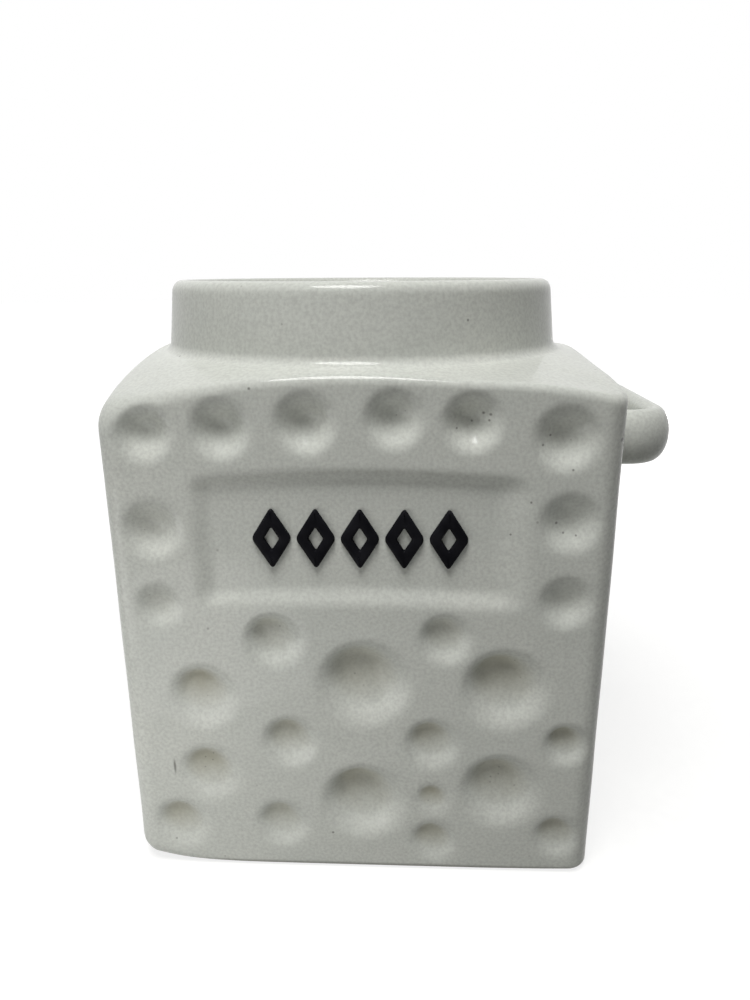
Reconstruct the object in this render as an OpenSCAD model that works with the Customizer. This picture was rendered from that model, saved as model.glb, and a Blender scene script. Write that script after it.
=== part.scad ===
// Square ceramic sugar jar with dimpled walls, a round open neck and a loop handle that lies flat on one
// side. It stands on the plane z = 0 with the axis of its neck on Z, and its label panel faces -Y.

/* [Body] */
// Width and depth of the square body
body_w = 112; // [105:1:150]
// Radius of the upright corners
corner_r = 5; // [3:0.5:9]
// Radius of the upright corners inside
inside_r = 4; // [2:0.5:8]
// Height of the shoulder's edge above the table, at the middle of a side
shoulder_z = 122.5; // [115:0.5:160]
// Fall of the shoulder away from the neck, in degrees
shoulder_fall = 18; // [10:1:25]
// Radius that rounds the shoulder off over the upright corners
shoulder_round = 8; // [3:0.5:12]
// Thickness of the fired wall
wall = 5.5; // [4.5:0.1:7]
// Thickness of the floor
floor_t = 6.5; // [4:0.5:10]

/* [Foot] */
// Height of the unglazed ring that the jar stands on
foot_h = 0.8; // [0.5:0.1:3]
// Width of that ring
foot_w = 4; // [3:0.5:6]
// Distance of the ring from the outside of the walls
foot_inset = 4.5; // [3:0.5:5]

/* [Neck] */
// Inside diameter of the mouth
mouth_d = 90; // [70:1:92]
// Thickness of the rounded rim
rim_t = 4.4; // [3:0.1:5.5]
// Height of the rim above the shoulder's edge
neck_h = 18.5; // [14:0.5:30]
// Flare of the neck towards its foot, in degrees
neck_flare = 6; // [0:1:10]
// Radius of the hollow curve between the neck and the shoulder
neck_fillet = 3; // [1:0.5:4]
// Thickness of the neck's spigot in the shoulder's opening
spigot_t = 3.5; // [2.5:0.1:4.5]

/* [Handle] */
// Height of the handle's oval band
handle_h = 13.5; // [10:0.5:18]
// Thickness of the band
handle_t = 7.2; // [5:0.1:9]
// Clear gap between the wall and the band
handle_reach = 12.6; // [9:0.1:20]
// Clear length of the loop between its two limbs
handle_span = 55.4; // [40:0.2:62]
// Inside radius of the band's two bends
handle_bend = 4.3; // [3:0.1:8]
// Distance of the band's middle below the shoulder's edge
handle_drop = 18.4; // [14:0.1:40]

/* [Label] */
// Width of the recessed label panel
panel_w = 67.5; // [60:0.5:72]
// Height of the panel
panel_h = 28; // [22:0.5:30]
// Depth of the panel in the front wall
panel_depth = 1.5; // [0.8:0.1:2]
// Radius of the panel's corners
panel_r = 4; // [2:0.5:8]
// Distance of the panel's middle below the shoulder's edge
panel_drop = 35; // [33:0.5:36]
// Width of one lozenge of the motif
lozenge_w = 9; // [7:0.1:10]
// Height of one lozenge
lozenge_h = 14.4; // [10:0.1:18]
// Width of a lozenge's raised line
lozenge_line = 2.4; // [1.5:0.1:2.8]
// Height of that line over the panel
lozenge_relief = 1.2; // [0.6:0.1:2]
// Gap between two lozenges
lozenge_gap = 0.7; // [0.3:0.1:2]

/* [Dimples] */
// Diameter of the large dimples
large_d = 20; // [14:0.5:21]
// Diameter of the common dimples
common_d = 13.5; // [9:0.5:14.5]
// Diameter of the small dimples
small_d = 9; // [6:0.5:10]
// Depth of a dimple for each millimetre of its diameter
dimple_depth = 0.14; // [0.06:0.01:0.18]

/* [Hidden] */
$fn = 72;

glaze = "#e3e3dc";
bare_clay = "#cfc7b6";
black_glaze = "#17181a";

half_w = body_w / 2;
corner_reach = (half_w - corner_r) * sqrt(2) + corner_r;
round_steps = 8;
shoulder_t = wall / cos(shoulder_fall);
past = 1;

mouth_r = mouth_d / 2;
rim_r = mouth_r + rim_t;
rim_z = shoulder_z + neck_h;
lip_r = rim_t / 2;
lip_z = rim_z - lip_r;
spigot_r = mouth_r + spigot_t;
spigot_z = shoulder_at(spigot_r) - shoulder_t;
fillet_steps = 8;

handle_z = shoulder_z - handle_drop;
bend_r = handle_bend + handle_t / 2;
limb_y = (handle_span + handle_t) / 2;

panel_z = shoulder_z - panel_drop;
lozenge_count = 5;
lozenge_pitch = lozenge_w + lozenge_gap;

// Dimples of the front wall, around and below the label panel. Each has its place across the wall, from
// -1 to 1 over the wall's whole width, its place up the wall, from 0 at the table to 1 at the shoulder's
// edge, and its diameter.
front_dimples = [
    [-0.81, 0.9, common_d], [-0.52, 0.91, common_d], [-0.21, 0.92, common_d],
    [0.13, 0.925, common_d], [0.42, 0.92, common_d], [0.77, 0.895, common_d],
    [-0.81, 0.73, common_d], [-0.81, 0.58, common_d], [0.81, 0.745, common_d], [0.81, 0.595, common_d],
    [-0.34, 0.515, common_d], [0.35, 0.52, common_d],
    [0.03, 0.425, large_d], [0.6, 0.42, large_d], [-0.65, 0.395, common_d],
    [-0.29, 0.3, common_d], [0.31, 0.295, common_d], [0.85, 0.3, small_d],
    [-0.64, 0.225, common_d], [0.61, 0.2, large_d], [0.02, 0.165, large_d], [0.32, 0.17, small_d],
    [-0.78, 0.1, common_d], [-0.34, 0.11, common_d], [0.33, 0.065, small_d], [0.85, 0.085, small_d]
];

// Dimples of a wall without a label panel, given the same way.
plain_dimples = [
    [-0.77, 0.9, common_d], [-0.46, 0.92, common_d], [-0.15, 0.91, common_d],
    [0.16, 0.92, common_d], [0.47, 0.9, common_d], [0.78, 0.905, common_d],
    [-0.65, 0.75, common_d], [-0.24, 0.73, large_d], [0.18, 0.76, common_d], [0.58, 0.73, large_d],
    [-0.81, 0.6, small_d], [-0.5, 0.56, large_d], [-0.02, 0.59, common_d],
    [0.34, 0.55, common_d], [0.75, 0.56, common_d],
    [-0.73, 0.39, common_d], [-0.24, 0.41, common_d], [0.1, 0.39, large_d], [0.54, 0.38, large_d],
    [-0.49, 0.24, large_d], [-0.08, 0.23, small_d], [0.29, 0.22, common_d], [0.78, 0.24, common_d],
    [-0.79, 0.11, common_d], [-0.2, 0.1, common_d], [0.1, 0.08, small_d],
    [0.54, 0.11, common_d], [0.83, 0.08, small_d]
];

// Height of the shoulder's outer face at a distance r from the jar's axis
function shoulder_at(r) = shoulder_z - (r - half_w) * tan(shoulder_fall);

function dimple_x(dimple) = dimple[0] * half_w;
function dimple_z(dimple) = dimple[1] * shoulder_z;

// True where a dimple of the right wall would undercut one of the handle's ends
function under_handle(dimple) =
    abs(abs(dimple_x(dimple)) - limb_y) < (handle_t + dimple[2]) / 2
    && abs(dimple_z(dimple) - handle_z) < (handle_h + dimple[2]) / 2;

module rounded_rectangle(w, h, r) {
    square([w, h - 2 * r], center = true);
    square([w - 2 * r, h], center = true);
    for (x = [-1, 1], y = [-1, 1])
        translate([x * (w / 2 - r), y * (h / 2 - r)]) circle(r);
}

module square_prism(w, r, low) {
    translate([0, 0, low]) linear_extrude(rim_z) rounded_rectangle(w, w, r);
}

// Everything under the shoulder's slope, lowered by drop and rounded off where it runs out over the corners
module under_shoulder(drop) {
    outer = corner_reach + past;
    sink = shoulder_round * (1 - sin(shoulder_fall)) / cos(shoulder_fall);
    centre = [outer - shoulder_round, shoulder_at(outer) - drop - sink];
    rotate_extrude() polygon(concat(
        [[0, 0], [outer, 0]],
        [for (i = [0 : round_steps])
            let (a = (90 - shoulder_fall) * i / round_steps) centre + shoulder_round * [cos(a), sin(a)]],
        [[0, shoulder_at(0) - drop]]
    ));
}

module body_block() {
    intersection() {
        square_prism(body_w, corner_r, foot_h);
        under_shoulder(0);
    }
}

module cavity() {
    intersection() {
        square_prism(body_w - 2 * wall, inside_r, foot_h + floor_t);
        under_shoulder(shoulder_t);
    }
    translate([0, 0, spigot_z - past]) cylinder(r = spigot_r, h = neck_h + shoulder_t + past);
}

// A shallow ball-shaped hollow in the wall that faces -Y
module dimple_cut(dimple) {
    d = dimple[2];
    depth = d * dimple_depth;
    ball_r = (pow(d / 2, 2) + pow(depth, 2)) / (2 * depth);
    translate([dimple_x(dimple), depth - ball_r - half_w, dimple_z(dimple)]) sphere(ball_r);
}

module panel_cut() {
    translate([0, panel_depth - half_w, panel_z])
        rotate([90, 0, 0]) linear_extrude(panel_depth + past) rounded_rectangle(panel_w, panel_h, panel_r);
}

module jar_body() {
    color(glaze) difference() {
        body_block();
        cavity();
        panel_cut();
        for (dimple = front_dimples) dimple_cut(dimple);
        rotate([0, 0, 90]) for (dimple = plain_dimples) if (!under_handle(dimple)) dimple_cut(dimple);
        rotate([0, 0, 180]) mirror([1, 0, 0]) for (dimple = plain_dimples) dimple_cut(dimple);
        rotate([0, 0, 270]) for (dimple = plain_dimples) dimple_cut(dimple);
    }
}

module foot_ring() {
    outer_w = body_w - 2 * foot_inset;
    inner_w = outer_w - 2 * foot_w;
    color(bare_clay) linear_extrude(foot_h) difference() {
        rounded_rectangle(outer_w, outer_w, corner_r);
        rounded_rectangle(inner_w, inner_w, corner_r / 2);
    }
}

// The collar's section: a spigot in the shoulder's opening, a hollow curve on the slope, a flared wall
// and a round rim
module neck_section() {
    lean = tan(shoulder_fall) * tan(neck_flare);
    corner_x = (rim_r + (lip_z - shoulder_at(0)) * tan(neck_flare)) / (1 - lean);
    spread = neck_fillet / cos(neck_flare + shoulder_fall);
    centre = [
        corner_x + spread * (cos(shoulder_fall) - sin(neck_flare)),
        shoulder_at(corner_x) + spread * (cos(neck_flare) - sin(shoulder_fall))
    ];
    from = 270 - shoulder_fall;
    to = 180 + neck_flare;
    polygon(concat(
        [[mouth_r, spigot_z], [spigot_r, spigot_z], [spigot_r, shoulder_at(spigot_r)]],
        [for (i = [0 : fillet_steps])
            let (a = from + (to - from) * i / fillet_steps) centre + neck_fillet * [cos(a), sin(a)]],
        [[rim_r, lip_z], [mouth_r, lip_z]]
    ));
    translate([mouth_r + lip_r, lip_z]) circle(lip_r);
}

module neck_collar() {
    color(glaze) rotate_extrude() neck_section();
}

// The band's oval section
module handle_section() {
    scale([handle_t / handle_h, 1]) circle(d = handle_h);
}

// A loop that lies flat beside the wall: two short limbs, two bends and a straight middle
module side_handle() {
    limb = handle_reach - handle_bend;
    straight = handle_span - 2 * handle_bend;
    color(glaze) translate([half_w, 0, handle_z]) {
        translate([limb + bend_r, 0, 0])
            rotate([90, 0, 0]) linear_extrude(straight, center = true) handle_section();
        for (side = [0, 1])
            mirror([0, side, 0]) {
                translate([limb, straight / 2, 0])
                    rotate_extrude(angle = 90) translate([bend_r, 0]) handle_section();
                translate([0, limb_y, 0]) rotate([90, 0, 90]) linear_extrude(limb) handle_section();
            }
    }
}

module rhombus(w, h) {
    polygon([[-w / 2, 0], [0, -h / 2], [w / 2, 0], [0, h / 2]]);
}

module lozenge(i) {
    reach = lozenge_w * lozenge_h / (2 * norm([lozenge_w, lozenge_h]));
    hole = 1 - lozenge_line / reach;
    color(black_glaze)
        translate([(i - (lozenge_count + 1) / 2) * lozenge_pitch, panel_depth - half_w, panel_z])
            rotate([90, 0, 0]) linear_extrude(lozenge_relief) difference() {
                rhombus(lozenge_w, lozenge_h);
                rhombus(lozenge_w * hole, lozenge_h * hole);
            }
}

jar_body();
neck_collar();
side_handle();
foot_ring();
for (i = [1 : lozenge_count]) lozenge(i);
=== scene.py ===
from math import atan2, copysign, cos, exp, hypot, pi, radians, sin, sqrt, tan

import bmesh
import bpy
from mathutils import Matrix, Vector, noise


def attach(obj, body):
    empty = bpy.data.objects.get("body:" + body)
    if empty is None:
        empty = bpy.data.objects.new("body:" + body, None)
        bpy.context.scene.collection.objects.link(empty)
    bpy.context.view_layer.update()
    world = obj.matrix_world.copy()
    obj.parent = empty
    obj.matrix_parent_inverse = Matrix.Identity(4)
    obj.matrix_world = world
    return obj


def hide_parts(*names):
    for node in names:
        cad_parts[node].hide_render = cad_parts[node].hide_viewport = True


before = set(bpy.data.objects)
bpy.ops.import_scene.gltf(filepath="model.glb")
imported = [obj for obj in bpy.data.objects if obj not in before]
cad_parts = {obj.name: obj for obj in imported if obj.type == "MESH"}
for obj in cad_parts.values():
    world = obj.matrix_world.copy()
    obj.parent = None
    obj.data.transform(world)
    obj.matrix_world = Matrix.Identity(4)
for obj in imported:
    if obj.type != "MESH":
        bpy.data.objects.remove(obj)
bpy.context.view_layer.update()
bpy.context.scene.view_settings.view_transform = "Standard"


# Jar body
# A square hollow body cast in white clay, with thumb-pressed dimples in its four walls, a sunk label panel
# in the front and a shoulder that slopes up to the round opening for the neck. It is dipped in a glossy
# off-white glaze that keeps fine dark specks, with an olive stain and painted shade in its low dimples.

# Sizes in millimetres. The body stands a little right of the jar's axis and the neck a little left of it.
MM = 0.001
HALF_W, CORNER_R, FLOOR_Z = 56.1, 5.0, 0.3
BASE_R, EDGE_R = 1.2, 2.6
WALL, FLOOR_T, INSIDE_R, INNER_R = 5.5, 6.5, 4.0, 5.0
SHOULDER_Z, SHOULDER_FALL = 122.5, radians(18)
OPENING_R = 48.5
BODY_X, NECK_X = 0.93, -0.93
FLAT = HALF_W - CORNER_R
SIDE_LENGTH = 2 * FLAT + CORNER_R * pi / 2

# The cast is uneven: its shoulder swells at the right corners and a little at both sides, its edges are
# rounder at the left corners, and its right edge is sharper.
CORNER_SWELL, LEFT_SWELL, RIGHT_SWELL = 3.0, 0.7, 0.9
SWELL_WIDTH, SWELL_TURN, SWELL_START = 0.3, 0.3, 3.0
LEFT_EDGE_R, LEFT_BASE_R, RIGHT_SHARPER = 6.5, 5.5, 0.6

# How finely the mesh is divided: columns round the jar, and rows up the wall and round its curves.
COLUMNS = 480
WALL_ROWS, CURVE_ROWS, INSIDE_ROWS, CEILING_ROWS, MIDDLE_ROWS = 130, 8, 6, 4, 3
LEAST_CORNER_R = 1.0

# Dimples of the front wall, in millimetres: across from its middle, up from the table, radius and depth.
front_dimples = [
    (-45.2, 110.6, 5.8, 3.4), (-28.8, 111.4, 6.0, 3.7), (-10.9, 112.7, 6.1, 3.7), (7.6, 113.6, 5.8, 3.3),
    (23.9, 113.0, 5.8, 3.7), (43.4, 109.7, 6.4, 3.3), (-45.3, 89.0, 6.4, 3.1), (-45.2, 70.8, 5.2, 1.9),
    (45.3, 91.3, 6.2, 2.6), (45.6, 72.8, 5.7, 2.3), (-19.4, 62.0, 6.2, 2.6), (19.6, 62.9, 5.7, 2.2),
    (1.4, 50.9, 10.0, 3.3), (33.6, 50.1, 9.3, 3.2), (-36.4, 47.4, 7.5, 1.6), (-16.5, 35.5, 6.3, 1.8),
    (17.1, 35.5, 6.2, 1.8), (48.4, 36.1, 5.1, 1.8), (1.0, 18.9, 9.4, 3.2), (33.7, 22.8, 9.1, 2.6),
    (-36.2, 26.4, 7.2, 1.3), (-44.0, 11.6, 6.6, 1.3), (-19.2, 12.3, 6.1, 1.5), (17.5, 20.3, 4.2, 0.7),
    (17.8, 8.0, 5.5, 1.2), (47.7, 10.3, 5.5, 1.4),
]

# Dimples of the other three walls, given the same way but for the depth, which goes with the radius.
plain_dimples = [
    (-43.2, 109.4, 5.9), (-25.9, 111.8, 5.9), (-8.6, 110.6, 5.7), (9.1, 111.8, 6.0), (26.4, 109.4, 5.8),
    (43.7, 110.6, 5.7), (-36.4, 91.1, 6.0), (-13.7, 88.7, 8.8), (10.0, 92.3, 5.9), (32.8, 88.7, 9.0),
    (-45.5, 72.9, 4.2), (-28.2, 68.0, 8.9), (-0.9, 71.7, 6.0), (19.1, 66.8, 5.9), (41.9, 68.0, 6.0),
    (-41.0, 47.4, 6.1), (-13.7, 49.8, 6.0), (5.5, 47.4, 9.1), (30.0, 46.2, 8.7), (-27.3, 29.2, 8.8),
    (-4.6, 27.9, 4.2), (16.4, 26.7, 6.0), (43.7, 29.2, 5.9), (-44.1, 13.4, 5.5), (-11.4, 12.2, 5.4),
    (5.5, 9.7, 4.2), (30.0, 13.4, 5.9), (46.4, 9.7, 4.1),
]
PLAIN_DEPTH = 0.3
other_dimples = [(x, z, radius, PLAIN_DEPTH * radius) for x, z, radius in plain_dimples]

# A low dimple is steep at its upper left and runs out at its lower right. From about BOWL_Z up the dimples
# turn into plain round bowls.
DIMPLE_SPREAD, DIMPLE_LEAN = 1.22, radians(25)
SIDE_SOFT, UPHILL_STEEPER, DOWNHILL_STEEPER, RUN_OUT_FROM = 0.8, 0.44, 0.2, 0.6
BOWL_Z, BOWL_BLEND = 66, 16

# The label panel's edges and how softly each of them falls in, and the slight arch of the two long ones.
PANEL_DEPTH = 1.5
PANEL_LEFT, PANEL_RIGHT, PANEL_TOP, PANEL_BOTTOM = -34.5, 33.6, 101.3, 73.5
LEFT_FALL, RIGHT_FALL, TOP_FALL, BOTTOM_FALL = 5.0, 9.0, 4.0, 4.8
TOP_ARCH, BOTTOM_ARCH = 0.0013, 0.001

# Shallow waves that keep the walls from being dead flat.
WAVE_DEPTH, WAVE_LENGTH, WAVE_FADE, WAVE_APART = 0.18, 24, 8, 7.3


def reach(turn, half, corner):
    """Distance from the jar's axis to a rounded square, in the direction turn."""
    a = abs((turn + pi / 4) % (pi / 2) - pi / 4)
    flat = half - corner
    if half * tan(a) <= flat:
        return half / cos(a)
    return flat * (cos(a) + sin(a)) + sqrt(max(corner ** 2 - (flat * (cos(a) - sin(a))) ** 2, 0))


def outline(along):
    """Wall, distance from its middle, direction from the axis and outward direction, along the outline."""
    wall, across = divmod(along + SIDE_LENGTH / 2, SIDE_LENGTH)
    across -= SIDE_LENGTH / 2
    past = max(abs(across) - FLAT, 0) / CORNER_R
    x = copysign(min(abs(across), FLAT) + CORNER_R * sin(past), across)
    y = FLAT + CORNER_R * cos(past)
    facing = (wall - 1) * pi / 2
    return int(wall) % 4, across, facing + atan2(x, y), facing + copysign(past, across)


def shoulder_at(r):
    """Height of the shoulder's slope at a distance r from the neck's axis."""
    return SHOULDER_Z - (r - HALF_W) * tan(SHOULDER_FALL)


def body_section(turn):
    """The wall's section in one direction, from below up the outside and down the inside to the floor."""
    edge = reach(turn, HALF_W, CORNER_R)
    off_corner = abs(atan2(sin(turn), cos(turn))) - pi / 4
    swell = CORNER_SWELL * exp(-(off_corner / SWELL_WIDTH) ** 2)
    swell += LEFT_SWELL * max(-cos(turn), 0) ** 6
    swell += RIGHT_SWELL * max(cos(turn - SWELL_TURN), 0) ** 12

    def slope(r):
        start = OPENING_R + SWELL_START
        outwards = min(max((r - start) / (edge - start), 0), 1)
        return shoulder_at(hypot(BODY_X - NECK_X + r * cos(turn), r * sin(turn))) + swell * outwards

    cornered = min(max((edge - HALF_W) / (FLAT * sqrt(2) + CORNER_R - HALF_W), 0), 1)
    left_corner = (1 - cos(turn)) / 2 * cornered ** 3
    edge_r = EDGE_R * (1 - RIGHT_SHARPER * max(cos(turn), 0)) + LEFT_EDGE_R * left_corner
    base_r = BASE_R + LEFT_BASE_R * left_corner
    edge_z = slope(edge) - edge_r * (1 - sin(SHOULDER_FALL)) / cos(SHOULDER_FALL)
    base_z = FLOOR_Z + base_r

    under = reach(turn, HALF_W - base_r, max(CORNER_R - base_r, LEAST_CORNER_R))
    points = [(under * k / MIDDLE_ROWS, FLOOR_Z) for k in range(MIDDLE_ROWS)]
    for k in range(CURVE_ROWS):
        a = pi / 2 * k / CURVE_ROWS
        back = base_r * (1 - sin(a))
        r = reach(turn, HALF_W - back, max(CORNER_R - back, LEAST_CORNER_R))
        points.append((r, FLOOR_Z + base_r * (1 - cos(a))))
    outside = len(points)
    points += [(edge, base_z + (edge_z - base_z) * k / WALL_ROWS) for k in range(WALL_ROWS)]
    for k in range(CURVE_ROWS + 1):
        a = (pi / 2 - SHOULDER_FALL) * k / CURVE_ROWS
        points.append((edge - edge_r * (1 - cos(a)), edge_z + edge_r * sin(a)))
    top = len(points)

    brow = points[-1][0]
    for k in range(1, CURVE_ROWS + 1):
        r = brow + (OPENING_R - brow) * k / CURVE_ROWS
        points.append((r, slope(r)))
    drop = WALL / cos(SHOULDER_FALL)
    inner = reach(turn, HALF_W - WALL, INSIDE_R)
    for k in range(CEILING_ROWS + 1):
        r = OPENING_R + (inner - OPENING_R) * k / CEILING_ROWS
        points.append((r, slope(r) - drop))
    low = FLOOR_Z + FLOOR_T + INNER_R
    tall = slope(inner) - drop - low
    points += [(inner, low + tall * (1 - k / INSIDE_ROWS)) for k in range(1, INSIDE_ROWS)]
    for k in range(INSIDE_ROWS + 1):
        a = pi / 2 * k / INSIDE_ROWS
        back = INNER_R * (1 - cos(a))
        r = reach(turn, HALF_W - WALL - back, max(INSIDE_R - back, LEAST_CORNER_R))
        points.append((r, low - INNER_R * sin(a)))
    floor = points[-1][0]
    points += [(floor * (1 - k / MIDDLE_ROWS), FLOOR_Z + FLOOR_T) for k in range(1, MIDDLE_ROWS + 1)]
    return points, outside, top


def ease(t):
    """A smooth rise from 0 to 1 while t goes from -0.5 to 0.5."""
    t = min(max(t + 0.5, 0), 1)
    return t * t * (3 - 2 * t)


def dimple_depth(aside, above, radius, middle_z):
    """Depth of a dimple, as a share of its deepest, at a place beside and above its middle."""
    rim = DIMPLE_SPREAD * radius
    away = hypot(aside, above) + 1e-6
    if away >= rim:
        return 0.0
    uphill = above * cos(DIMPLE_LEAN) - aside * sin(DIMPLE_LEAN)
    lift = uphill / away
    soft = SIDE_SOFT - (UPHILL_STEEPER if lift > 0 else DOWNHILL_STEEPER) * lift ** 2
    run_out = max(RUN_OUT_FROM - uphill / rim, 0) / (1 + RUN_OUT_FROM)
    pressed = ease((1 - away / rim) / soft - 0.5) * (1 - run_out ** 2)
    bowl = (1 - (away / rim) ** 2) ** 2
    return pressed + (bowl - pressed) * ease((middle_z - BOWL_Z) / BOWL_BLEND)


def panel_depth(across, up):
    """Depth of the label panel's recess. Its long edges arch a little and its right edge is the softest."""
    top = PANEL_TOP - TOP_ARCH * across ** 2
    bottom = PANEL_BOTTOM - BOTTOM_ARCH * across ** 2
    wide = ease((across - PANEL_LEFT) / LEFT_FALL) * ease((PANEL_RIGHT - across) / RIGHT_FALL)
    tall = ease((top - up) / TOP_FALL) * ease((up - bottom) / BOTTOM_FALL)
    return PANEL_DEPTH * wide * tall


def put(tree, kind, inputs, **settings):
    """A new node whose inputs take plain values or other nodes' sockets."""
    node = tree.nodes.new("ShaderNode" + kind)
    for name, value in settings.items():
        setattr(node, name, value)
    for name, value in inputs.items():
        if isinstance(value, bpy.types.NodeSocket):
            tree.links.new(value, node.inputs[name])
        else:
            node.inputs[name].default_value = value
    return node


def ramp(tree, value, low, high, out_low=0.0, out_high=1.0):
    """A socket that goes from out_low to out_high while value goes from low to high."""
    inputs = {"Value": value, "From Min": low, "From Max": high, "To Min": out_low, "To Max": out_high}
    return put(tree, "MapRange", inputs).outputs["Result"]


def mottle(tree, place, scale, detail, roughness=0.5):
    """Soft noise over the piece, in so many lumps to the metre."""
    inputs = {"Vector": place, "Scale": scale, "Detail": detail, "Roughness": roughness}
    return put(tree, "TexNoise", inputs).outputs["Fac"]


def times(tree, a, b):
    """The product of two sockets or values."""
    return put(tree, "Math", {0: a, 1: b}, operation="MULTIPLY").outputs["Value"]


def larger(tree, a, b):
    """The larger of two sockets or values."""
    return put(tree, "Math", {0: a, 1: b}, operation="MAXIMUM").outputs["Value"]


def blend(tree, share, a, b):
    """Colour a, with a share of colour b mixed in."""
    return put(tree, "Mix", {0: share, 6: a, 7: b}, data_type="RGBA").outputs[2]


def new_finish(name):
    """A new material with its node tree, its shader and the place on the piece."""
    material = bpy.data.materials.new(name)
    material.use_nodes = True
    tree = material.node_tree
    place = tree.nodes.new("ShaderNodeTexCoord").outputs["Object"]
    return material, tree, tree.nodes["Principled BSDF"], place


def make_piece(bm, name, material, slot, *nodes):
    """Closes a mesh made in millimetres and puts it in the scene in place of its CAD nodes."""
    bmesh.ops.remove_doubles(bm, verts=bm.verts, dist=0.004)
    bmesh.ops.recalc_face_normals(bm, faces=bm.faces)
    bmesh.ops.scale(bm, vec=(MM, MM, MM), verts=bm.verts)
    for face in bm.faces:
        face.smooth = True
    for edge in bm.edges:
        edge.smooth = edge.calc_face_angle(0) < radians(50)
    mesh = bpy.data.meshes.new(name)
    bm.to_mesh(mesh)
    bm.free()
    mesh.materials.append(material)
    piece = bpy.data.objects.new(name, mesh)
    bpy.context.collection.objects.link(piece)
    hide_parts(*nodes)
    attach(piece, "root")


# The glaze is faintly clouded and grained. The upper, shaded side of the low hollows gets an olive stain and
# painted shade, a thin painted contact shadow darkens it along the foot, and it has specks all over, more of
# them in the hollows.
DULL_GLAZE, PALE_GLAZE = (0.744, 0.770, 0.716, 1), (0.795, 0.814, 0.755, 1)
GRAIN_TINT, SHADE_STAIN_TINT = (0.55, 0.56, 0.52, 1), (0.42, 0.40, 0.29, 1)
FOOT_SHADOW_TINT, SPECK_TINT = (0.20, 0.19, 0.16, 1), (0.09, 0.08, 0.065, 1)
GRAIN_SHARE, FOOT_SHADOW_SHARE, SPECK_SHARE = 0.55, 0.7, 0.65
# Heights in metres between which the olive stain and painted shade of the hollows fade out.
SHADE_STAIN_BELOW, SHADE_STAIN_FADED_ABOVE = 0.058, 0.075
# Heights in metres between which the painted contact shadow along the foot fades out.
FOOT_SHADOW_FULL, FOOT_SHADOW_END = 0.0011, 0.0019

white_glaze, tree, shader, place = new_finish("white_glaze")
axes = put(tree, "SeparateXYZ", {"Vector": place}).outputs
# The hollow attribute is larger on the upper, shaded side of each dimple; it places painted shade.
hollow = put(tree, "Attribute", {}, attribute_name="hollow").outputs["Fac"]
clouds = mottle(tree, place, 38.0, 4.0, 0.6)
grain = mottle(tree, place, 1300.0, 2.0)
colour = blend(tree, ramp(tree, clouds, 0.3, 0.7), DULL_GLAZE, PALE_GLAZE)
colour = blend(tree, ramp(tree, grain, 0.35, 0.7, 0.0, GRAIN_SHARE), colour, GRAIN_TINT)
# An olive stain with painted shade, darkest on the upper side of the low dimples, where shade falls.
shade_stain = times(tree, ramp(tree, hollow, 0.2, 0.8), ramp(tree, clouds, 0.35, 0.65, 0.35, 0.75))
shade_stain = times(tree, shade_stain, ramp(tree, axes["Z"], SHADE_STAIN_BELOW, SHADE_STAIN_FADED_ABOVE, 1.0, 0.15))
colour = blend(tree, shade_stain, colour, SHADE_STAIN_TINT)
# A painted contact shadow: the glaze darkens in a thin line just above the table.
foot_shadow = ramp(tree, axes["Z"], FOOT_SHADOW_FULL, FOOT_SHADOW_END, FOOT_SHADOW_SHARE, 0.0)
colour = blend(tree, foot_shadow, colour, FOOT_SHADOW_TINT)
specks = 0.0
for scale, picked_from, where in ((330.0, 0.93, 1.0), (520.0, 0.62, ramp(tree, hollow, 0.25, 0.7))):
    cells = put(tree, "TexVoronoi", {"Vector": place, "Scale": scale}).outputs
    dots = ramp(tree, cells["Distance"], 0.05, 0.13, 1.0, 0.0)
    picked = put(tree, "SeparateColor", {"Color": cells["Color"]}).outputs["Red"]
    dots = times(tree, times(tree, dots, ramp(tree, picked, picked_from, picked_from + 0.04)), where)
    specks = larger(tree, specks, dots)

# Pinholes of the front's glaze, as millimetres across, up and in radius, and one short upright scratch.
pinholes = [
    (-21.2, 120.0, 0.4), (30.1, 125.6, 0.4), (56.0, 109.3, 0.56), (27.2, 114.7, 0.4), (28.6, 114.5, 0.4),
    (28.4, 113.2, 0.32), (24.9, 112.8, 0.32), (21.7, 111.5, 0.3), (41.2, 110.1, 0.32), (39.6, 108.2, 0.36),
    (46.0, 103.1, 0.32), (43.6, 90.9, 0.4), (45.2, 88.7, 0.32), (47.9, 88.2, 0.3), (37.7, 96.0, 0.32),
    (33.8, 88.5, 0.32), (-6.1, 10.5, 0.4),
]
scratches = [(-44.1, 28.6, 0.4)]
SCRATCH_SLIM = 0.16
front = ramp(tree, axes["Y"], -0.050, -0.042, 1.0, 0.0)
for squeeze, spots in ((1.0, pinholes), (SCRATCH_SLIM, scratches)):
    flat = put(tree, "VectorMath", {0: place, 1: (1, 0, squeeze)}, operation="MULTIPLY").outputs["Vector"]
    for x, z, radius in spots:
        middle = (x * MM, 0, squeeze * z * MM)
        away = put(tree, "VectorMath", {0: flat, 1: middle}, operation="DISTANCE").outputs["Value"]
        spot = times(tree, ramp(tree, away, 0.4 * radius * MM, radius * MM, 1.0, 0.0), front)
        specks = larger(tree, specks, spot)
colour = blend(tree, times(tree, specks, SPECK_SHARE), colour, SPECK_TINT)
tree.links.new(colour, shader.inputs["Base Color"])
tree.links.new(ramp(tree, clouds, 0.3, 0.7, 0.34, 0.44), shader.inputs["Roughness"])
shader.inputs["Specular IOR Level"].default_value = 0.05
shader.inputs["Coat Weight"].default_value = 0.4
shader.inputs["Coat Roughness"].default_value = 0.09
skin = mottle(tree, place, 260.0, 2.0)
bump = put(tree, "Bump", {"Height": skin, "Strength": 0.12, "Distance": 0.0004}).outputs["Normal"]
tree.links.new(bump, shader.inputs["Normal"])
tree.links.new(bump, shader.inputs["Coat Normal"])

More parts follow.
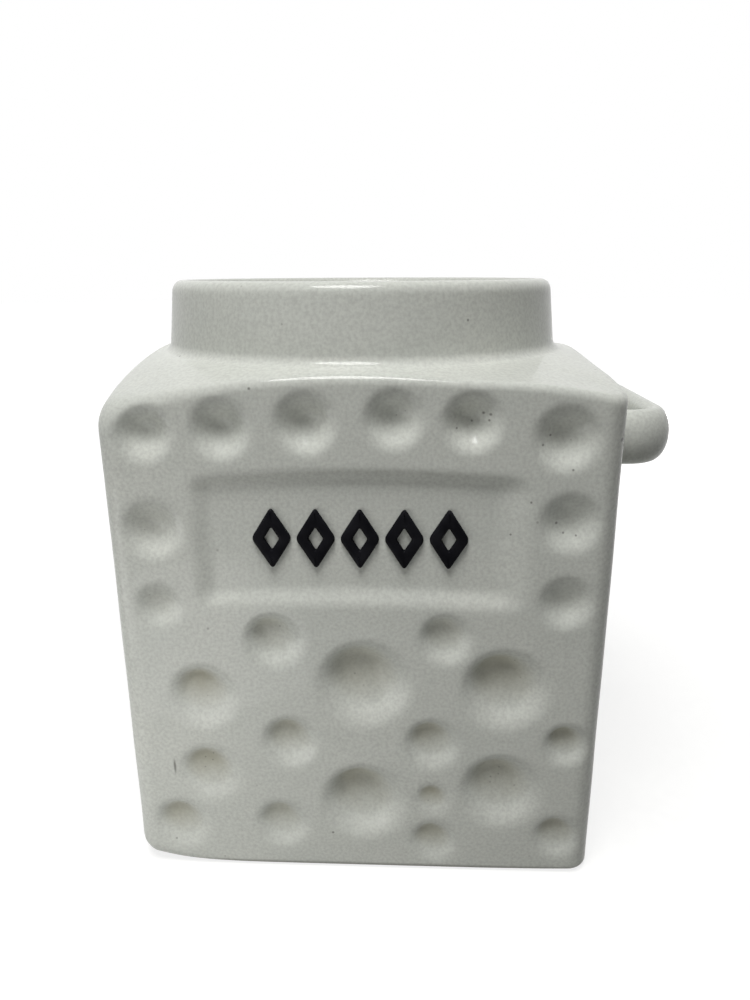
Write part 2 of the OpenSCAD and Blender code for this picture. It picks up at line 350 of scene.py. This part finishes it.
# The body's grid is wrapped round the jar, one column for each direction. The front is wall 0 and the back
# is wall 2, whose dimples run the other way.
# Each dimple's painted shade, kept in the hollow attribute, grows from this share at its middle towards its
# top, the side in shade.
SHADE_STAIN_LEVEL = 0.55

sections = [body_section(outline(4 * SIDE_LENGTH * i / COLUMNS)[2]) for i in range(COLUMNS)]
rows = len(sections[0][0]) - 1
bm = bmesh.new()
bmesh.ops.create_grid(bm, x_segments=COLUMNS, y_segments=rows, size=0.5)
hollow_layer = bm.verts.layers.float.new("hollow")
for v in bm.verts:
    column = round((v.co.x + 0.5) * COLUMNS) % COLUMNS
    row = round((v.co.y + 0.5) * rows)
    wall, across, turn, facing = outline(4 * SIDE_LENGTH * column / COLUMNS)
    points, outside, top = sections[column]
    r, up = points[row]
    v.co = (BODY_X + r * cos(turn), r * sin(turn), up)
    if outside <= row < top:
        sunk, shade = 0.0, 0.0
        for x, z, radius, depth in front_dimples if wall == 0 else other_dimples:
            aside = (-across if wall == 2 else across) - x
            share = dimple_depth(aside, up - z, radius, z)
            sunk += depth * share
            shade = max(shade, share * (SHADE_STAIN_LEVEL + (1 - SHADE_STAIN_LEVEL) * (up - z) / radius))
        if wall == 0:
            sunk = max(sunk, panel_depth(across, up))
        wave = noise.noise(Vector((across / WAVE_LENGTH, up / WAVE_LENGTH, wall * WAVE_APART)))
        sunk += WAVE_DEPTH * wave * min((up - FLOOR_Z) / WAVE_FADE, 1)
        v.co -= sunk * Vector((cos(facing), sin(facing), 0))
        v[hollow_layer] = shade
make_piece(bm, "jar_body_glazed", white_glaze, "white_glaze", "jar_body")


# Neck
# A round upright collar thrown from the same clay and luted into the shoulder's opening before the firing.
# Its foot runs out on the slope in a small hollow curve, and its lip is rounded under the same glaze.

MOUTH_R, RIM_R, RIM_Z = 45.0, 49.4, 141.0
NECK_FLARE, NECK_FILLET = radians(6), 3.0
LIP_H, LIP_OUT, LIP_IN = 3.0, 2.6, 1.8
SKIRT, SKIRT_LIFT, SPIGOT_STEP = 0.6, 0.012, 0.5
NECK_ROWS, NECK_CURVE_ROWS, NECK_COLUMNS = 7, 12, 192

lean = tan(NECK_FLARE) * tan(SHOULDER_FALL)
foot_r = (RIM_R + (RIM_Z - LIP_H - shoulder_at(0)) * tan(NECK_FLARE)) / (1 - lean)
spread = NECK_FILLET / cos(NECK_FLARE + SHOULDER_FALL)
centre_r = foot_r + spread * (cos(SHOULDER_FALL) - sin(NECK_FLARE))
centre_z = shoulder_at(foot_r) + spread * (cos(NECK_FLARE) - sin(SHOULDER_FALL))
spigot_z = shoulder_at(OPENING_R) - WALL / cos(SHOULDER_FALL)
section = [(MOUTH_R, spigot_z), (OPENING_R, spigot_z), (OPENING_R, shoulder_at(OPENING_R) - SPIGOT_STEP)]
for out, over in ((SKIRT, -SKIRT / 2), (SKIRT, SKIRT_LIFT), (SKIRT / 2, SKIRT_LIFT)):
    r = centre_r - NECK_FILLET * sin(SHOULDER_FALL) + out
    section.append((r, shoulder_at(r) + over))
for k in range(NECK_CURVE_ROWS + 1):
    a = 3 * pi / 2 - SHOULDER_FALL + (NECK_FLARE - pi / 2 + SHOULDER_FALL) * k / NECK_CURVE_ROWS
    section.append((centre_r + NECK_FILLET * cos(a), centre_z + NECK_FILLET * sin(a) + SKIRT_LIFT))
foot_r, foot_z = section[-1]
for k in range(1, NECK_ROWS):
    r = foot_r + (RIM_R - foot_r) * k / NECK_ROWS
    section.append((r, foot_z + (RIM_Z - LIP_H - foot_z) * k / NECK_ROWS))
for k in range(NECK_CURVE_ROWS + 1):
    a = pi * k / NECK_CURVE_ROWS
    middle, out = (RIM_R - LIP_OUT, LIP_OUT) if a <= pi / 2 else (MOUTH_R + LIP_IN, LIP_IN)
    section.append((middle + out * cos(a), RIM_Z - LIP_H + LIP_H * sin(a)))
bm = bmesh.new()
ring = [bm.verts.new((r, 0, z)) for r, z in section]
edges = [bm.edges.new((a, b)) for a, b in zip(ring, ring[1:] + ring[:1])]
bmesh.ops.spin(bm, geom=ring + edges, cent=(0, 0, 0), axis=(0, 0, 1), angle=2 * pi, steps=NECK_COLUMNS,
               use_merge=True)
bmesh.ops.translate(bm, vec=(NECK_X, 0, 0), verts=bm.verts)
make_piece(bm, "neck_collar_glazed", white_glaze, "white_glaze", "neck_collar")


# Side handle
# An oval band of clay bent into a flat loop and luted on the right wall by its two ends, level with the top
# row of dimples. It flares a little where it meets the wall and is glazed with the jar.

WALL_X = BODY_X + HALF_W
HANDLE_Z, HANDLE_H, HANDLE_T = 104.9, 13.1, 7.2
HANDLE_REACH, HANDLE_SPAN, HANDLE_BEND = 11.3, 55.4, 4.3
HANDLE_SUNK, FLARE_RUN, FLARE_OUT = 2.5, 4.0, 1.4
LIMB_Y = (HANDLE_SPAN + HANDLE_T) / 2
LIMB = HANDLE_SUNK + HANDLE_REACH - HANDLE_BEND
LENGTHS, BEND_STEPS = 8, 16


def draw_out(end, way):
    """Extrudes the band's end face in equal lengths all the way and returns the new end."""
    for _ in range(LENGTHS):
        grown = bmesh.ops.extrude_face_region(bm, geom=end)["geom"]
        bmesh.ops.delete(bm, geom=end, context="FACES_ONLY")
        moved = [g for g in grown if isinstance(g, bmesh.types.BMVert)]
        bmesh.ops.translate(bm, vec=Vector(way) / LENGTHS, verts=moved)
        end = [g for g in grown if isinstance(g, bmesh.types.BMFace)]
    return end


def bend(end, side):
    """Turns the band's end face a quarter turn round one corner of the loop."""
    corner = (WALL_X + HANDLE_REACH - HANDLE_BEND, side * (HANDLE_SPAN / 2 - HANDLE_BEND), 0)
    turned = bmesh.ops.spin(bm, geom=end, cent=corner, axis=(0, 0, 1), angle=pi / 2, steps=BEND_STEPS)
    bmesh.ops.delete(bm, geom=end, context="FACES_ONLY")
    return [g for g in turned["geom_last"] if isinstance(g, bmesh.types.BMFace)]


bm = bmesh.new()
bmesh.ops.create_circle(bm, cap_ends=True, segments=40, radius=0.5)
bmesh.ops.scale(bm, vec=(HANDLE_H, HANDLE_T, 1), verts=bm.verts)
bmesh.ops.rotate(bm, matrix=Matrix.Rotation(pi / 2, 3, "Y"), verts=bm.verts)
bmesh.ops.translate(bm, vec=(WALL_X - HANDLE_SUNK, -LIMB_Y, HANDLE_Z), verts=bm.verts)
end = draw_out(bm.faces[:], (LIMB, 0, 0))
end = bend(end, -1)
end = draw_out(end, (0, HANDLE_SPAN - 2 * HANDLE_BEND, 0))
end = bend(end, 1)
draw_out(end, (-LIMB, 0, 0))
bmesh.ops.holes_fill(bm, edges=[e for e in bm.edges if e.is_boundary])
for v in bm.verts:
    near = min(max(1 - (v.co.x - WALL_X) / FLARE_RUN, 0), 1)
    out = Vector((0, v.co.y - copysign(LIMB_Y, v.co.y), v.co.z - HANDLE_Z))
    if near and out.length > 0.1:
        v.co += out.normalized() * FLARE_OUT * near ** 2
make_piece(bm, "side_handle_glazed", white_glaze, "white_glaze", "side_handle")


# Foot ring
# The low ring under the body that the jar stands on. Its glaze is wiped off before the firing, so it shows
# the bare, slightly sandy clay.

FOOT_W, FOOT_INSET, FOOT_SUNK, FOOT_EDGE_R = 4.0, 4.5, 1.2, 0.5
DARK_CLAY, LIGHT_CLAY, WORN_CLAY = (0.53, 0.48, 0.39, 1), (0.68, 0.63, 0.54, 1), (0.40, 0.36, 0.30, 1)

bare_clay, tree, shader, place = new_finish("bare_clay")
sand = mottle(tree, place, 700.0, 4.0, 0.7)
wear = mottle(tree, place, 60.0, 3.0)
colour = blend(tree, ramp(tree, sand, 0.3, 0.7), DARK_CLAY, LIGHT_CLAY)
colour = blend(tree, ramp(tree, wear, 0.5, 0.7, 0.0, 0.5), colour, WORN_CLAY)
tree.links.new(colour, shader.inputs["Base Color"])
tree.links.new(ramp(tree, sand, 0.3, 0.7, 0.78, 0.95), shader.inputs["Roughness"])
bump = put(tree, "Bump", {"Height": sand, "Strength": 0.4, "Distance": 0.0003}).outputs["Normal"]
tree.links.new(bump, shader.inputs["Normal"])

bm = bmesh.new()
bmesh.ops.create_grid(bm, x_segments=1, y_segments=1, size=HALF_W - FOOT_INSET)
bmesh.ops.bevel(bm, geom=bm.verts[:], affect="VERTICES", offset=CORNER_R, segments=10, profile=0.5,
                material=-1)
bm.normal_update()
whole = bm.faces[:]
inset = bmesh.ops.inset_region(bm, faces=whole, thickness=FOOT_W, use_even_offset=True, use_boundary=True)
bmesh.ops.delete(bm, geom=whole, context="FACES_ONLY")
grown = bmesh.ops.extrude_face_region(bm, geom=inset["faces"])["geom"]
raised = [g for g in grown if isinstance(g, bmesh.types.BMVert)]
bmesh.ops.translate(bm, vec=(0, 0, FLOOR_Z + FOOT_SUNK), verts=raised)
low_edges = [e for e in bm.edges if all(v.co.z < 0.01 for v in e.verts)]
rims = [e for e in low_edges if any(abs(f.normal.z) < 0.5 for f in e.link_faces)]
bmesh.ops.bevel(bm, geom=rims, affect="EDGES", offset=FOOT_EDGE_R, segments=3, profile=0.5, material=-1)
make_piece(bm, "foot_ring_bare", bare_clay, "bare_clay", "foot_ring")


# Label motif
# A row of five plain lozenges trailed on the panel's floor in thick black glaze, each a rounded line that
# stands proud of the panel.

LOZENGES, LOZENGE_PITCH = 5, 9.7
LOZENGE_W, LOZENGE_H, LOZENGE_LINE, LOZENGE_RELIEF = 9.0, 14.4, 2.4, 1.2
LOZENGE_HOLE = 1 - 2 * LOZENGE_LINE * hypot(LOZENGE_W, LOZENGE_H) / (LOZENGE_W * LOZENGE_H)
TIP_R, HOLE_TIP_R, LINE_EDGE_R = 1.0, 0.4, 0.7
LABEL_X, LABEL_Z, LABEL_SUNK = BODY_X + 0.3, 87.0, 0.15
DEEP_BLACK, THIN_BLACK = (0.004, 0.004, 0.006, 1), (0.013, 0.013, 0.016, 1)

black_glaze, tree, shader, place = new_finish("black_glaze")
pools = mottle(tree, place, 240.0, 3.0)
colour = blend(tree, ramp(tree, pools, 0.35, 0.7), DEEP_BLACK, THIN_BLACK)
tree.links.new(colour, shader.inputs["Base Color"])
tree.links.new(ramp(tree, pools, 0.3, 0.7, 0.16, 0.3), shader.inputs["Roughness"])
shader.inputs["Specular IOR Level"].default_value = 0.03
bump = put(tree, "Bump", {"Height": pools, "Strength": 0.15, "Distance": 0.0003}).outputs["Normal"]
tree.links.new(bump, shader.inputs["Normal"])

for i in range(LOZENGES):
    bm = bmesh.new()
    for size, tip_r in ((1, TIP_R), (LOZENGE_HOLE, HOLE_TIP_R)):
        tips = bmesh.ops.create_circle(bm, cap_ends=True, segments=4, radius=size)["verts"]
        bmesh.ops.scale(bm, vec=(LOZENGE_W / 2, LOZENGE_H / 2, 1), verts=tips)
        bmesh.ops.bevel(bm, geom=tips, affect="VERTICES", offset=tip_r, segments=4, profile=0.5, material=-1)
    bmesh.ops.delete(bm, geom=bm.faces[:], context="FACES_ONLY")
    line = bmesh.ops.bridge_loops(bm, edges=bm.edges[:])["faces"]
    grown = bmesh.ops.extrude_face_region(bm, geom=line)["geom"]
    raised = [g for g in grown if isinstance(g, bmesh.types.BMVert)]
    bmesh.ops.translate(bm, vec=(0, 0, LOZENGE_RELIEF), verts=raised)
    high_edges = [e for e in bm.edges if all(v in raised for v in e.verts)]
    brow = [e for e in high_edges if any(v not in raised for f in e.link_faces for v in f.verts)]
    bmesh.ops.bevel(bm, geom=brow, affect="EDGES", offset=LINE_EDGE_R, segments=5, profile=0.5, material=-1)
    bmesh.ops.rotate(bm, matrix=Matrix.Rotation(pi / 2, 3, "X"), verts=bm.verts)
    middle_x = LABEL_X + (i - LOZENGES // 2) * LOZENGE_PITCH
    bmesh.ops.translate(bm, vec=(middle_x, PANEL_DEPTH - HALF_W + LABEL_SUNK, LABEL_Z), verts=bm.verts)
    make_piece(bm, f"lozenge_{i + 1}_raised", black_glaze, "black_glaze", f"lozenge_{i + 1}")


# Table and light
# A plain pale table that runs out into the white of the background and keeps the jar's shadow. A large soft
# lamp stands above the front, two small low ones near its left, and one behind that lights the far sides.

TABLE_R = 4.0
DARK_FIBRE, LIGHT_FIBRE, WHITE = (0.30, 0.30, 0.29, 1), (0.34, 0.34, 0.33, 1), (1, 1, 1, 1)
LAMP_COLOUR, LAMPS_AIM = (1.0, 0.995, 0.985), (0, 0, 0.08)
SURROUND_LIGHT = 0.01


def looked_at(tree):
    """A socket that is 1 where the camera sees the surface, straight or in a reflection or through glass."""
    path = tree.nodes.new("ShaderNodeLightPath").outputs
    straight_or_mirrored = larger(tree, path["Is Camera Ray"], path["Is Glossy Ray"])
    return larger(tree, straight_or_mirrored, path["Is Transmission Ray"])


pale_table, tree, shader, place = new_finish("pale_table")
fibre = mottle(tree, place, 300.0, 3.0)
colour = blend(tree, ramp(tree, fibre, 0.3, 0.7), DARK_FIBRE, LIGHT_FIBRE)
tree.links.new(colour, shader.inputs["Base Color"])
shader.inputs["Roughness"].default_value = 0.9
shader.inputs["Specular IOR Level"].default_value = 0.1
away = put(tree, "VectorMath", {0: place}, operation="LENGTH").outputs["Value"]
whiteness = times(tree, looked_at(tree), ramp(tree, away, 0.09, 0.4, 0.80, 1.0))
glow = put(tree, "Emission", {"Color": WHITE, "Strength": whiteness}).outputs["Emission"]
both = put(tree, "AddShader", {0: shader.outputs["BSDF"], 1: glow}).outputs["Shader"]
tree.links.new(both, tree.nodes["Material Output"].inputs["Surface"])

bm = bmesh.new()
bmesh.ops.create_circle(bm, cap_ends=True, segments=96, radius=TABLE_R)
mesh = bpy.data.meshes.new("table")
bm.to_mesh(mesh)
bm.free()
mesh.materials.append(pale_table)
table = bpy.data.objects.new("table", mesh)
bpy.context.collection.objects.link(table)


def lamp(name, stand, size, power):
    """A round soft lamp that stands at a place in metres and is aimed at the jar."""
    light = bpy.data.lights.new(name, "AREA")
    light.shape = "DISK"
    light.size = size
    light.energy = power
    light.color = LAMP_COLOUR
    body = bpy.data.objects.new(name, light)
    body.location = stand
    body.rotation_euler = (Vector(stand) - Vector(LAMPS_AIM)).to_track_quat("Z", "Y").to_euler()
    bpy.context.collection.objects.link(body)
    return body


lamp("key_lamp", (-0.06, -0.25, 0.72), 0.30, 3.7)
lamp("left_lamp", (-0.145, -0.13, 0.018), 0.10, 0.042)
lamp("front_lamp", (-0.06, -0.13, 0.010), 0.08, 0.024)
back_lamp = lamp("back_lamp", (0.30, 0.58, 0.07), 0.12, 1.3)
back_lamp.visible_glossy = False

world = bpy.data.worlds.new("surround")
world.use_nodes = True
bpy.context.scene.world = world
tree = world.node_tree
sky = tree.nodes["Background"]
sky.inputs["Color"].default_value = WHITE
tree.links.new(ramp(tree, looked_at(tree), 0, 1, SURROUND_LIGHT, 1.0), sky.inputs["Strength"])


# Camera
# A phone held about 150 mm from the front wall, level with the rim, tipped down a little and turned slightly
# to the left.

CAMERA_AT = (11.11, -208.76, 142.86)
CAMERA_PITCH, CAMERA_YAW, CAMERA_ROLL = radians(16.94), radians(2.43), radians(0.27)

view = bpy.data.cameras.new("camera")
view.lens = 27
view.sensor_width = 36
view.clip_start = 0.01
camera = bpy.data.objects.new("camera", view)
tipped = Matrix.Rotation(pi / 2 - CAMERA_PITCH, 4, "X") @ Matrix.Rotation(-CAMERA_ROLL, 4, "Z")
turned = Matrix.Rotation(CAMERA_YAW, 4, "Z") @ tipped
camera.matrix_world = Matrix.Translation(Vector(CAMERA_AT) * MM) @ turned
bpy.context.collection.objects.link(camera)
bpy.context.scene.camera = camera
